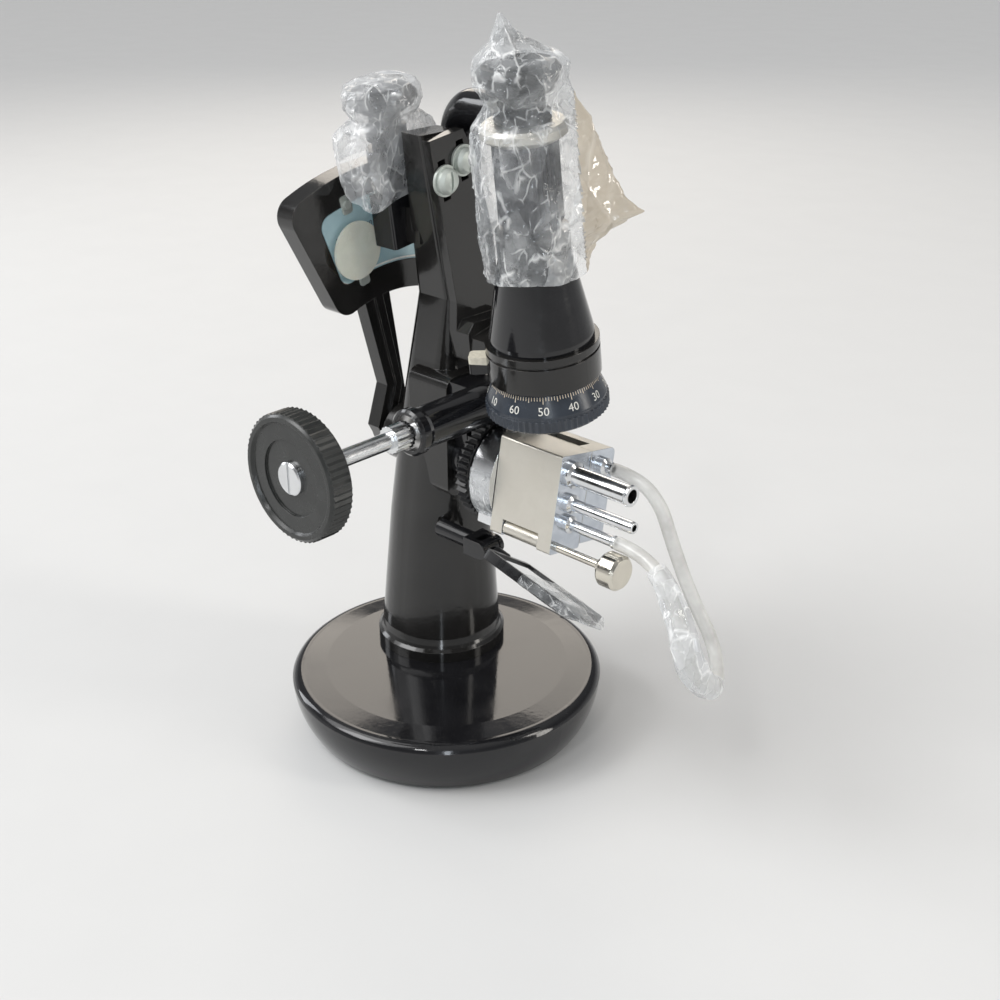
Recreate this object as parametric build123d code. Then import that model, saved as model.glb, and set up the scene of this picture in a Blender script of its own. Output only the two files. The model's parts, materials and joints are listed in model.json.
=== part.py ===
from build123d import *
import math
import os

# Abbe refractometer: round cast base, tapered column with a leaning arm, a telescope with a compensator
# drum, a reading microscope, and a heated double prism that turns with the scale sector on a cross axle.
# Millimetres. Origin: centre of the base underside, +Z up. The user sits on the -Y side.

# ---- driving sizes ----
BASE_R = 80.0
BASE_H = 31.0
BASE_UNDER_R = 72.0
PAD_H = 2.0
COLUMN_X, COLUMN_Y = -22.0, 18.0
FOOT_R = 33.5
FOOT_H = 7.0
COLUMN_R = 30.0
WAIST_Z = 221.0
ARM_TOP_Z = 300.0
ARM_FACE_X = -5.0
ARM_LEAN = 11.5

AXLE_Y, AXLE_Z = 14.0, 143.5
AXLE_R = 6.0
BUSH_R = 9.0
PAD_X = 4.0
BOSS_X = -43.0

WHEEL_X = 23.5
WHEEL_W = 7.0
WHEEL_TEETH = 48
WHEEL_TIP_R = 26.4
TOOTH_DEPTH = 2.0
WORM_TIP_R = 8.0
WORM_L = 24.0
SHAFT_R = 4.0
HOUSING_R = 10.4
HOUSING_FRONT, HOUSING_BACK = -45.0, 38.0
KNOB_R = 28.5
KNOB_W = 12.0
KNOB_FRONT_Y = -113.0

FLANGE_X = 28.0
FLANGE_R = 25.0
BOX_X0, BOX_X1 = 41.5, 79.0
BOX_FRONT, BOX_BACK = -21.0, 17.0
BOX_LOW, BOX_HIGH = -24.0, 23.0
BOX_TURN = 10.0
GLASS_L, GLASS_W, GLASS_D = 30.0, 30.0, 10.0
PIN_R = 2.0
ROD_L = 71.0

TELE_X = 60.5
TELE_LEAN = 8.0
DRUM_LOW, DRUM_HIGH = 43.0, 60.0
DRUM_R = 28.0
RING_LOW, RING_HIGH = 61.0, 77.5
RING_R, RING_BORE_R = 25.5, 21.0
CONE_TOP = 114.0
CONE_LOW_R, CONE_TOP_R = 23.4, 16.0
DRAW_R = 12.5
GRIP_R, GRIP_L = 14.0, 34.0
KNURLS = 60
KNURL_DEPTH = 0.7

SECTOR_X0, SECTOR_X1 = -56.0, -45.0
SECTOR_IN_R, SECTOR_OUT_R = 74.0, 139.0
SECTOR_RIM = 14.0
SECTOR_BACK, SECTOR_FRONT = -27.0, 28.0
SCALE_T = 2.5
HUB_R = 10.0
CLIP_H, CLIP_HEAD_H = 0.8, 1.1

MICRO_Y, MICRO_Z = 6.0, 257.0
MICRO_W, MICRO_D, MICRO_H = 15.0, 21.0, 24.0
MICRO_TUBE_R = 10.5

MIRROR_L, MIRROR_W, MIRROR_T = 50.0, 44.0, 5.0
MIRROR_DROOP, MIRROR_TILT = 13.5, 35.0

HOSE_R = 3.2
FILM = 0.8

# ---- clearances ----
RUN = 0.04
SEAT = 0.02
FACE = 0.3

WORM_Z = AXLE_Z + WHEEL_TIP_R + WORM_TIP_R + 0.2
BOX_MID_X = (BOX_X0 + BOX_X1) / 2
STAND = (Align.CENTER, Align.CENTER, Align.MIN)

os.makedirs("parts", exist_ok=True)
nodes = {}


def keep(name, *pieces):
    """Store one node; several solids stay separate inside it."""
    solids = [solid for piece in pieces for solid in piece.solids()]
    nodes[name] = solids[0] if len(solids) == 1 else Compound(children=solids)


def turned(*outline):
    """Solid of revolution about Z from (radius, height) corners."""
    return revolve(make_face(Polyline(*[(r, 0, z) for r, z in outline], close=True)), Axis.Z)


def rod(radius, length, low=0.0):
    """Cylinder on the local Z axis, from low upwards."""
    return Pos(0, 0, low) * Cylinder(radius, length, align=STAND)


def tube(radius, bore, length, low=0.0):
    return rod(radius, length, low) - rod(bore, length, low)


def along_x(x, y=AXLE_Y, z=AXLE_Z):
    """Place whose local Z runs along +X and local X along +Y."""
    return Plane(origin=(x, y, z), x_dir=(0, 1, 0), z_dir=(1, 0, 0)).location


def along_y(y, x=WHEEL_X, z=WORM_Z):
    """Place whose local Z runs along +Y."""
    return Plane(origin=(x, y, z), x_dir=(1, 0, 0), z_dir=(0, 1, 0)).location


def star(radius, depth, count, height, low=0.0):
    """Straight-knurled or toothed blank: a ring of equal points, extruded."""
    step = math.pi / count
    points = []
    for i in range(2 * count):
        r = radius if i % 2 else radius - depth
        points.append((r * math.cos(i * step), r * math.sin(i * step)))
    return Pos(0, 0, low) * extrude(make_face(Polyline(*points, close=True)), height)


def slab(corners, x0, x1):
    """Plate of constant X thickness from (y, z) corners."""
    face = make_face(Polyline(*[(x0, y, z) for y, z in corners], close=True))
    return extrude(face, x1 - x0, dir=(1, 0, 0))


def lens(radius, rim, bulge):
    """Biconvex lens centred on the local origin, turned from two arcs and its edge."""
    top, side = rim / 2 + bulge, rim / 2
    ball = (radius**2 + bulge**2) / (2 * bulge)
    half = radius / 2
    mid = top - ball + math.sqrt(ball**2 - half**2)
    outline = [
        ThreePointArc((0, 0, top), (half, 0, mid), (radius, 0, side)),
        Line((radius, 0, side), (radius, 0, -side)),
        ThreePointArc((radius, 0, -side), (half, 0, -mid), (0, 0, -top)),
        Line((0, 0, -top), (0, 0, top)),
    ]
    return revolve(make_face(outline), Axis.Z)


def polar(radius, degrees):
    """(y, z) on a circle about the cross axle; 0 is straight up, positive leans to the user."""
    a = math.radians(degrees)
    return AXLE_Y - radius * math.sin(a), AXLE_Z + radius * math.cos(a)


PRISM = Pos(0, AXLE_Y, AXLE_Z) * Rot(-BOX_TURN, 0, 0)
TELE = Pos(TELE_X, AXLE_Y, AXLE_Z) * Rot(TELE_LEAN, 0, 0)


def prism_point(u, w):
    """Row-frame (y, z) of a point in the double prism's own section."""
    a = math.radians(BOX_TURN)
    return AXLE_Y + u * math.cos(a) + w * math.sin(a), AXLE_Z - u * math.sin(a) + w * math.cos(a)


def prism_block(u0, u1, w0, w1, x0=BOX_X0, x1=BOX_X1):
    block = Box(x1 - x0, u1 - u0, w1 - w0)
    return PRISM * Pos((x0 + x1) / 2, (u0 + u1) / 2, (w0 + w1) / 2) * block


def prism_along_x(u, w, x):
    """Place on the double prism whose local Z runs along +X."""
    return PRISM * Plane(origin=(x, u, w), x_dir=(0, 1, 0), z_dir=(1, 0, 0)).location


# ---- base and column ----
BOLT_R, BOLT_HEAD_R, BOLT_HEAD_H = 5.0, 9.0, 6.0
BOLT_L = 45.0


def make_base():
    rim_z = BASE_H - 4.5
    shoulder = (BASE_R - 6.0, 0, BASE_H - 1.0)
    dome = (FOOT_R + 29, 0, BASE_H)
    profile = make_face(
        Line((0, 0, PAD_H), (BASE_UNDER_R, 0, PAD_H))
        + ThreePointArc((BASE_UNDER_R, 0, PAD_H), (BASE_R - 2.2, 0, rim_z * 0.52), (BASE_R, 0, rim_z))
        + ThreePointArc((BASE_R, 0, rim_z), (BASE_R - 1.9, 0, BASE_H - 2.0), shoulder)
        + Line(shoulder, dome)
        + Line(dome, (0, 0, BASE_H))
        + Line((0, 0, BASE_H), (0, 0, PAD_H))
    )
    body = revolve(profile, Axis.Z)
    below = Pos(COLUMN_X, COLUMN_Y, 0)
    body -= below * rod(BOLT_R + FACE, BASE_H + 1)
    return body - below * rod(BOLT_HEAD_R + 1, BOLT_HEAD_H + PAD_H)


keep("base", make_base())
keep("base_pad", rod(BASE_UNDER_R - 3, PAD_H) - Pos(COLUMN_X, COLUMN_Y, 0) * rod(BOLT_HEAD_R + 1, PAD_H))
keep(
    "column_bolt",
    Pos(COLUMN_X, COLUMN_Y, PAD_H) * (rod(BOLT_HEAD_R, BOLT_HEAD_H) + rod(BOLT_R, BOLT_L)),
)

ARM_W, ARM_D = 22.0, 27.0
TIP_W, TIP_D = 13.0, 23.0
SCREW_R = 2.0
lean_shift = (ARM_TOP_Z - WAIST_Z) * math.tan(math.radians(ARM_LEAN))
arm_y = COLUMN_Y + 6.0
tip_y = arm_y - 2.0 - lean_shift


def arm_point(along, across):
    """(y, z) on the arm's side face: distance below its top, distance across from its front edge."""
    share = along / (ARM_TOP_Z - WAIST_Z)
    front = (tip_y - TIP_D / 2) * (1 - share) + (arm_y - ARM_D / 2) * share
    return front + across, ARM_TOP_Z - along


SLOT_PLACES = [arm_point(20.5, 5.5), arm_point(13.0, 18.5)]


def make_column():
    low = BASE_H + FOOT_H + 5
    rise = WAIST_Z - low
    at = Pos(COLUMN_X, COLUMN_Y, BASE_H)
    foot = at * turned(
        (0, 0), (FOOT_R, 0), (FOOT_R, FOOT_H - 1.5), (FOOT_R - 1.5, FOOT_H),
        (COLUMN_R + 1.2, FOOT_H + 1.5), (COLUMN_R, FOOT_H + 5), (0, FOOT_H + 5),
    )
    waist = Pos(ARM_FACE_X - ARM_W / 2, arm_y, WAIST_Z) * RectangleRounded(ARM_W, ARM_D, 3)

    def ring(share, width, depth, corner):
        x = COLUMN_X + (ARM_FACE_X - ARM_W / 2 - COLUMN_X) * share**2
        y = COLUMN_Y + (arm_y - COLUMN_Y) * share**2
        return Pos(x, y, low + rise * share) * RectangleRounded(width, depth, corner)

    round_w = 2 * COLUMN_R
    lower = loft([ring(0, round_w, round_w, COLUMN_R - 2), ring(0.35, 50, 49, 22), ring(0.62, 40, 41, 16),
                  ring(0.82, 30, 32, 8), waist], ruled=True)
    tip = Pos(ARM_FACE_X - TIP_W / 2, tip_y, ARM_TOP_Z) * RectangleRounded(TIP_W, TIP_D, 1.5)
    upper = loft([waist, tip], ruled=True)
    boss = along_x(BOSS_X) * rod(15, PAD_X - BOSS_X)
    pad = Pos((PAD_X + COLUMN_X) / 2, AXLE_Y + 1, AXLE_Z + 12) * Box(PAD_X - COLUMN_X, 32, 62)
    body = foot + lower + upper + boss + fillet(pad.edges().filter_by(Axis.X), 6)
    body -= along_x(SECTOR_X0) * rod(HUB_R + 1.5, BOSS_X - SECTOR_X0)
    body -= along_x(BOSS_X - 1) * rod(BUSH_R + SEAT, PAD_X - BOSS_X + 2)
    body -= Pos(COLUMN_X, COLUMN_Y, BASE_H - 1) * rod(BOLT_R + SEAT, BOLT_L + PAD_H - BASE_H + 2)
    for y, z in SLOT_PLACES:
        body -= along_x(ARM_FACE_X - 9, y, z) * rod(SCREW_R + SEAT, 10)
    return body


keep("column", make_column())

# ---- telescope bracket: slotted plate, shelf, arm and ring in one casting ----
PLATE_T = 5.0
SLOT_L = 19.0


def make_bracket():
    x1 = ARM_FACE_X + PLATE_T
    foot_z = WAIST_Z - 28
    plate = [arm_point(2, 0.5), arm_point(-1, TIP_D - 1), arm_point(14, TIP_D + 4.5), arm_point(50, ARM_D + 4),
             (arm_y + 16, WAIST_Z - 2), (arm_y + 15, foot_z), (arm_y - 12, foot_z),
             (arm_y - 13.5, WAIST_Z - 14), arm_point(79, 0.5)]
    shelf = [(arm_y - 13.5, WAIST_Z - 14), (arm_y - 10, WAIST_Z - 9), (arm_y + 15, WAIST_Z - 9),
             (arm_y + 15, foot_z), (arm_y - 12, foot_z)]
    beam = [(arm_y - 12, WAIST_Z - 16), (arm_y + 11, WAIST_Z - 11), (arm_y + 11, foot_z + 3), (arm_y - 12, foot_z + 3)]
    body = slab(plate, ARM_FACE_X, x1) + slab(shelf, x1, x1 + 8) + slab(beam, x1, TELE_X - RING_BORE_R)
    body -= TELE * rod(DRUM_R + 2, RING_LOW - 0.5 - DRUM_LOW + 2, DRUM_LOW - 2)
    ring = rod(RING_R, RING_HIGH - RING_LOW, RING_LOW) - tube(RING_R + 1, RING_R - 0.8, 1.2, RING_HIGH - 4.5)
    body = body + TELE * ring - TELE * rod(RING_BORE_R, 40, RING_LOW - 8)
    for y, z in SLOT_PLACES:
        body -= Pos(ARM_FACE_X, y, z) * Rot(ARM_LEAN, 0, 0) * Box(20, 2 * SCREW_R + 0.6, SLOT_L)
    return body - nodes["column"]


keep("telescope_bracket", make_bracket())


def pan_screw(y, z):
    """Slotted pan head on its washer; the two stay separate solids."""
    at = along_x(ARM_FACE_X + PLATE_T, y, z)
    head = turned((0, 1.2), (6, 1.2), (6, 3), (4.6, 4.6), (2.2, 5.4), (0, 5.4))
    head -= Pos(0, 0, 5.4) * Box(1.3, 14, 2.4)
    return at * tube(7.2, SCREW_R + FACE, 1.2), at * (head + rod(SCREW_R, 13, -11.8))


keep("bracket_screws", *[piece for y, z in SLOT_PLACES for piece in pan_screw(y, z)])

# ---- worm housing: hub, web and boss bolted to the column pad ----
HOUSING_BORE_R = WORM_TIP_R + 0.6
BUSH_L = 10.0


def make_worm_housing():
    hub_l = WHEEL_X - WHEEL_W / 2 - 0.6 - PAD_X
    hub = along_x(PAD_X) * turned(
        (AXLE_R + 1, 0), (12.5, 0), (12.5, 4), (16, 8), (20, hub_l), (AXLE_R + 1, hub_l),
    )
    web = slab([(AXLE_Y - 9, AXLE_Z + 4), (AXLE_Y + 14, AXLE_Z + 4), (AXLE_Y + 15, WORM_Z), (AXLE_Y - 13, WORM_Z)],
               PAD_X, PAD_X + 9)
    saddle = slab([(AXLE_Y - 13, WORM_Z - 9), (AXLE_Y + 15, WORM_Z - 9), (AXLE_Y + 15, WORM_Z + 7),
                   (AXLE_Y - 13, WORM_Z + 7)], PAD_X, WHEEL_X)
    length = HOUSING_BACK - HOUSING_FRONT
    boss = along_y(HOUSING_FRONT) * turned(
        (0, 0), (HOUSING_R - 0.6, 0), (HOUSING_R + 0.6, 1.2), (HOUSING_R + 0.6, 5), (HOUSING_R - 0.8, 8),
        (HOUSING_R, length), (0, length),
    )
    body = hub + web + saddle + boss
    body -= along_y(HOUSING_FRONT - 1) * rod(HOUSING_BORE_R, length + 2)
    body -= along_x(WHEEL_X - WHEEL_W / 2 - 0.6) * rod(WHEEL_TIP_R + 0.6, WHEEL_W + 20)
    return body - along_x(PAD_X - 1) * rod(AXLE_R + 1, 30)


keep("worm_housing", make_worm_housing())
keep(
    "worm_bushes",
    *[along_y(y) * tube(HOUSING_BORE_R - SEAT, SHAFT_R + RUN, BUSH_L)
      for y in (HOUSING_FRONT + 3, HOUSING_BACK - BUSH_L)],
)
keep(
    "axle_bushes",
    *[along_x(x) * tube(BUSH_R, AXLE_R + RUN, 14) for x in (BOSS_X, PAD_X - 14)],
)


# ---- drive: knob, shaft and worm ----
def make_shaft():
    front = KNOB_FRONT_Y + 2.4
    body = along_y(front) * rod(SHAFT_R, HOUSING_BACK + 2 - front)
    sleeve = along_y(HOUSING_FRONT - 11) * star(6.4, 0.5, 18, 10.5)
    pitch = math.pi * (2 * WHEEL_TIP_R - TOOTH_DEPTH) / WHEEL_TEETH
    root = WORM_TIP_R - 2
    outline = [(0, 0), (root, 0)]
    for i in range(int((WORM_L - 3) / pitch)):
        z = 1 + i * pitch
        outline += [(root, z), (WORM_TIP_R, z + 0.9), (WORM_TIP_R, z + 1.7), (root, z + 2.6)]
    outline += [(root, WORM_L), (0, WORM_L)]
    return body + sleeve + along_y(AXLE_Y - WORM_L / 2) * turned(*outline)


def make_knob():
    bore = SHAFT_R + SEAT
    rim = KNOB_R - KNURL_DEPTH
    body = turned(
        (bore, 2.4), (17, 2.4), (17, 1.4), (24, 1.4), (25, 0), (rim - 1, 0), (rim, 1),
        (rim, KNOB_W - 1), (rim - 1, KNOB_W), (12, KNOB_W), (10, KNOB_W + 5), (bore, KNOB_W + 5),
    )
    band = star(KNOB_R, KNURL_DEPTH, KNURLS, KNOB_W - 2.4, 1.2) - rod(rim - 1, KNOB_W)
    return along_y(KNOB_FRONT_Y) * (body + band)


keep("drive_shaft", make_shaft())
keep("drive_knob", make_knob())
keep(
    "knob_screw",
    along_y(KNOB_FRONT_Y) * (turned((0, 0.2), (6.6, 0.2), (7.4, 0.8), (7.4, 2.4), (0, 2.4)) - Box(1.4, 16, 2.0)),
)

# ---- turning head: axle, worm wheel, flange and measuring half ----
AXLE_PLUG = 8.0
keep("cross_axle", along_x(SECTOR_X0 - 1) * rod(AXLE_R, FLANGE_X + AXLE_PLUG - SECTOR_X0 + 1))


def make_wheel():
    x0 = WHEEL_X - WHEEL_W / 2
    bore = AXLE_R + SEAT
    root = WHEEL_TIP_R - TOOTH_DEPTH
    body = turned(
        (bore, 0), (11, 0), (12, 1.5), (19, 1.5), (20, 0), (root, 0), (root, WHEEL_W), (FLANGE_R - 3, WHEEL_W),
        (FLANGE_R - 3, FLANGE_X - x0), (bore, FLANGE_X - x0),
    )
    teeth = star(WHEEL_TIP_R, TOOTH_DEPTH, WHEEL_TEETH, WHEEL_W - 1, 0.5) - rod(root - 1, WHEEL_W)
    return along_x(x0) * (body + teeth)


keep("worm_wheel", make_wheel())


def make_flange():
    length = BOX_X0 - FLANGE_X
    bore = AXLE_R + SEAT
    body = along_x(FLANGE_X) * turned(
        (0, AXLE_PLUG + SEAT), (bore, AXLE_PLUG + SEAT), (bore, 0), (FLANGE_R - 1, 0), (FLANGE_R, 1),
        (FLANGE_R, length), (0, length),
    )
    foot = prism_block(BOX_FRONT + 5, -1, BOX_LOW, -AXLE_R - 3, FLANGE_X + 1, BOX_X0)
    return body + foot


keep("head_flange", make_flange())

PIN_U, PIN_W = BOX_FRONT + 4.0, BOX_LOW + 3.6
KNUCKLE_R = 3.8
KNUCKLE_X0, KNUCKLE_X1 = BOX_X0 + 7.5, BOX_X1 - 8.0
GLASS_X0 = BOX_MID_X - GLASS_L / 2
GLASS_X1 = BOX_MID_X + GLASS_L / 2


def glass_pocket(u0, u1):
    half = GLASS_W / 2 + SEAT
    return prism_block(u0, u1, -half, half, GLASS_X0 - SEAT, GLASS_X1 + SEAT)


def make_measuring_box():
    body = prism_block(FACE / 2, BOX_BACK, BOX_LOW + 2, BOX_HIGH)
    body = fillet(body.edges().filter_by(Axis.X).sort_by(Axis.Y)[-2:], 3)
    ear = prism_block(PIN_U, 4, PIN_W - 1, PIN_W + KNUCKLE_R, KNUCKLE_X0 + FACE, KNUCKLE_X1 - FACE)
    ear += prism_along_x(PIN_U, PIN_W, KNUCKLE_X0 + FACE) * rod(KNUCKLE_R, KNUCKLE_X1 - KNUCKLE_X0 - 2 * FACE)
    light = prism_block(1, GLASS_D - 1, 0, BOX_HIGH + 5, BOX_MID_X - 10, BOX_MID_X + 10)
    body = body - glass_pocket(0, GLASS_D + SEAT) - light + ear
    return body - prism_along_x(PIN_U, PIN_W, BOX_X0 - 1) * rod(PIN_R + RUN, BOX_X1 - BOX_X0 + 2)


def make_illuminating_box():
    x0 = BOX_X0 + FACE
    body = prism_block(BOX_FRONT, -FACE / 2, BOX_LOW, BOX_HIGH, x0, BOX_X1)
    body = fillet(body.edges().filter_by(Axis.X).sort_by(Axis.Y)[:3], 1.2)
    light = prism_block(1 - GLASS_D, -1, BOX_LOW - 5, 0, BOX_MID_X - 9, BOX_MID_X + 9)
    recess = prism_block(BOX_FRONT - 1, 1, BOX_LOW - 1, PIN_W + KNUCKLE_R + 0.6, KNUCKLE_X0, KNUCKLE_X1)
    body = body - glass_pocket(-GLASS_D - SEAT, 0) - light - recess
    return body - prism_along_x(PIN_U, PIN_W, x0 - 1) * rod(PIN_R + RUN, BOX_X1 - x0 + 2)


def half_prism(u0, u1):
    """Glass whose flat face lies on the parting plane and whose back slopes from both ends."""
    half = GLASS_W / 2
    corners = [(u0, -half), (u0, half), (u1, half - 4), (u1, 4 - half)]
    face = make_face(Polyline(*[(GLASS_X0, u, w) for u, w in corners], close=True))
    return PRISM * extrude(face, GLASS_L, dir=(1, 0, 0))


keep("measuring_prism_box", make_measuring_box())
keep("illuminating_prism_box", make_illuminating_box())
keep("measuring_prism", half_prism(FACE, GLASS_D))
keep("illuminating_prism", half_prism(-FACE, -GLASS_D))

# ---- hinge rod and knob, thermometer socket and water nozzles ----
ROD_X0 = BOX_X0 + 1.0
KNOB_PLUG = 8.0
keep("clamp_rod", prism_along_x(PIN_U, PIN_W, ROD_X0) * rod(PIN_R, ROD_L))


def make_clamp_knob():
    bore = PIN_R + SEAT
    cap = turned(
        (bore, 0), (4, 0), (4.4, 2), (7.6, 3), (8.2, 4), (8.2, 11), (7, 12.4), (0, 12.4), (0, KNOB_PLUG + SEAT),
        (bore, KNOB_PLUG + SEAT),
    )
    return prism_along_x(PIN_U, PIN_W, ROD_X0 + ROD_L - KNOB_PLUG) * cap


keep("clamp_knob", make_clamp_knob())


def nozzle(u, w, length, radius, bore, lip=0.5):
    """Turned tube on the box's end face, with a collar, an open bore and a lip."""
    return prism_along_x(u, w, BOX_X1) * turned(
        (bore, 0), (radius + 1.6, 0), (radius + 1.6, 2.5), (radius, 3.5), (radius, length - 2),
        (radius + lip, length - 1.2), (radius + lip - 0.3, length), (bore, length),
    )


SOCKET_U, SOCKET_W, SOCKET_L, SOCKET_R, SOCKET_BORE_R = -13.0, 14.0, 35.0, 4.6, 3.2
DRAIN_U, DRAIN_W, DRAIN_L, DRAIN_R = -12.0, 0.0, 38.0, 2.9
LOWER_U, LOWER_W, LOWER_L = -11.0, -10.0, 29.0
UPPER_U, UPPER_W, UPPER_L = 9.0, 15.0, 7.0
NOZZLE_R, NOZZLE_BORE_R = 2.6, 1.6
keep("thermometer_socket", nozzle(SOCKET_U, SOCKET_W, SOCKET_L, SOCKET_R, SOCKET_BORE_R))
keep("open_nozzle", nozzle(DRAIN_U, DRAIN_W, DRAIN_L, DRAIN_R, NOZZLE_BORE_R, lip=0))
keep("lower_nozzle", nozzle(LOWER_U, LOWER_W, LOWER_L, NOZZLE_R, NOZZLE_BORE_R))
keep("upper_nozzle", nozzle(UPPER_U, UPPER_W, UPPER_L, NOZZLE_R, NOZZLE_BORE_R))

# ---- jacket hose: a limp clear loop from the upper to the lower nozzle ----
UPPER_Y, UPPER_Z = prism_point(UPPER_U, UPPER_W)
LOWER_Y, LOWER_Z = prism_point(LOWER_U, LOWER_W)
HOSE_ROUTE = [
    (BOX_X1 + UPPER_L, UPPER_Y, UPPER_Z),
    (101.0, UPPER_Y, UPPER_Z),
    (114.0, 25.0, 148.0),
    (120.5, 26.0, 131.0),
    (130.5, 28.0, 108.0),
    (146.0, 30.0, 83.5),
    (162.5, 8.0, 77.5),
    (163.0, -14.0, 98.0),
    (151.0, -9.5, 121.5),
    (127.5, LOWER_Y, LOWER_Z),
    (BOX_X1 + LOWER_L + FACE, LOWER_Y, LOWER_Z),
]


def bend_radii(points):
    radii = []
    for a, b, c in zip(points, points[1:], points[2:]):
        before, after = Vector(*b) - Vector(*a), Vector(*c) - Vector(*b)
        turn = math.radians(before.get_angle(after))
        radii.append(0.45 * min(before.length, after.length) / math.tan(turn / 2))
    return radii


def make_hose():
    radii = bend_radii(HOSE_ROUTE)
    path = FilletPolyline(*HOSE_ROUTE, radius=radii)
    section = Plane(origin=HOSE_ROUTE[0], x_dir=(0, 1, 0), z_dir=(1, 0, 0)) * Circle(HOSE_R)
    solid = sweep(section, path=path)
    share = solid.volume / (math.pi * HOSE_R**2 * path.length)
    print("hose radii", [round(r, 1) for r in radii], "length", round(path.length, 1), "volume share", round(share, 4))
    return solid


keep("jacket_hose", make_hose())


# ---- scale sector on the far end of the axle ----
def ring_part(r0, r1, a0, a1, x0, x1, corner):
    """Rounded part of a flat ring about the cross axle, between two angles from straight up."""
    arcs = [ThreePointArc(*[(x0, *polar(r, a)) for a in (a0, (a0 + a1) / 2, a1)]) for r in (r0, r1)]
    sides = [Line((x0, *polar(r0, a)), (x0, *polar(r1, a))) for a in (a0, a1)]
    plate = extrude(make_face([*arcs, *sides]), x1 - x0, dir=(1, 0, 0))
    return fillet(plate.edges().filter_by(Axis.X), corner)


WINDOW_IN_R, WINDOW_OUT_R = SECTOR_IN_R + SECTOR_RIM, SECTOR_OUT_R - SECTOR_RIM
WINDOW_MARGIN = math.degrees(SECTOR_RIM / SECTOR_OUT_R)


def window_part(gap, x0, x1):
    """Shape that fills the sector's window, drawn in by a gap all round."""
    slip = math.degrees(gap / WINDOW_IN_R)
    return ring_part(WINDOW_IN_R + gap, WINDOW_OUT_R - gap, SECTOR_BACK + WINDOW_MARGIN + slip,
                     SECTOR_FRONT - WINDOW_MARGIN - slip, x0, x1, 6 - gap)


def make_sector():
    y, z = AXLE_Y, AXLE_Z
    body = ring_part(SECTOR_IN_R, SECTOR_OUT_R, SECTOR_BACK, SECTOR_FRONT, SECTOR_X0, SECTOR_X1, 9)
    body -= window_part(0, SECTOR_X0 - 1, SECTOR_X1 + 1)
    hub = along_x(SECTOR_X0) * rod(HUB_R, BOSS_X - FACE - SECTOR_X0)
    elbow_z, top_z = z + 25, z + SECTOR_IN_R + 3
    strut = slab([(y - 9, z - 5), (y - 14, z + 4), (y - 7, elbow_z), (y - 21, top_z), (y - 4, top_z),
                  (y + 5, elbow_z - 4), (y + 9, z)], SECTOR_X0 + 1.5, SECTOR_X1 - 1.5)
    rib = slab([(y - 7, z + 10), (y - 2, elbow_z), (y - 15, top_z), (y - 10, top_z), (y + 2, elbow_z),
                (y - 2, z + 10)], SECTOR_X0, SECTOR_X1)
    return body + hub + strut + rib - along_x(SECTOR_X0 - 5) * rod(AXLE_R + SEAT, 40)


keep("sector_frame", make_sector())
keep("scale_glass", window_part(FACE, SECTOR_X1 - SCALE_T, SECTOR_X1))


def scale_clip(angle, radius):
    """Tab across the joint between frame and glass, with its screw head."""
    at = along_x(SECTOR_X1, *polar(radius, angle)) * Rot(0, 0, angle)
    tab = fillet(Box(6, 9, CLIP_H, align=STAND).edges().filter_by(Axis.Z), 1.5)
    return at * (tab + rod(2.1, CLIP_HEAD_H, CLIP_H))


keep("scale_clips", *[scale_clip(a, r) for a in (-12, 14) for r in (WINDOW_IN_R, WINDOW_OUT_R)])


# ---- telescope ----
SLEEVE_TOP = CONE_TOP + 14.0
GRIP_LOW = SLEEVE_TOP + 4.0
GRIP_HIGH = GRIP_LOW + GRIP_L
SHOULDER_R = GRIP_R + 4.5
WALL = 2.0
EYE_R = DRAW_R - WALL
CUP_R = 17.5


def make_telescope_body():
    inner = RING_BORE_R - 3
    return TELE * turned(
        (inner, RING_LOW + 9), (RING_BORE_R - SEAT, RING_LOW + 9), (RING_BORE_R - SEAT, RING_HIGH), (CONE_LOW_R, RING_HIGH),
        (CONE_LOW_R, RING_HIGH + 3), (CONE_TOP_R + 0.4, CONE_TOP), (CONE_TOP_R, CONE_TOP + 1), (CONE_TOP_R, SLEEVE_TOP),
        (DRAW_R + RUN, SLEEVE_TOP), (DRAW_R + RUN, CONE_TOP), (inner, RING_HIGH + 3),
    )


keep("telescope_body", make_telescope_body())
keep("telescope_objective", TELE * Pos(0, 0, RING_HIGH - 2) * lens(RING_BORE_R - 3 - SEAT, 3, 1.4))


def make_draw_tube():
    low = SLEEVE_TOP - 20
    body = star(GRIP_R, 0.5, 40, GRIP_L, GRIP_LOW) + rod(DRAW_R, GRIP_LOW - low, low)
    body += turned(
        (0, GRIP_HIGH), (GRIP_R, GRIP_HIGH), (SHOULDER_R - 1, GRIP_HIGH + 2), (SHOULDER_R, GRIP_HIGH + 3),
        (SHOULDER_R, GRIP_HIGH + 6), (SHOULDER_R - 1.5, GRIP_HIGH + 7.5), (0, GRIP_HIGH + 8.5),
    )
    return TELE * (body - rod(EYE_R, 100, low - 1))


EYE_LOW = GRIP_HIGH + 8.5


def make_eyepiece(low, radius):
    """Barrel that plugs into a tube of the given bore, with a waist and a flange for the eyecup."""
    inner = radius - 2.5
    return turned(
        (inner, low - 16), (radius - SEAT, low - 16), (radius - SEAT, low), (radius + 1.5, low), (radius + 1.5, low + 3),
        (radius - 0.6, low + 4.5), (radius - 0.6, low + 10), (radius + 3.5, low + 12), (radius + 3.5, low + 14),
        (5, low + 14), (5, low + 10), (inner, low + 8),
    )


def make_eyecup(low, radius, out):
    """Rubber eyecup: rolled lip, dished top and an eye hole."""
    return turned(
        (5, low + 14), (radius + 3.5, low + 14), (out - 2, low + 15), (out, low + 17.5), (out, low + 20),
        (out - 2.5, low + 22.5), (out - 6, low + 21.5), (8, low + 17.5), (5, low + 17),
    )


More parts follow.
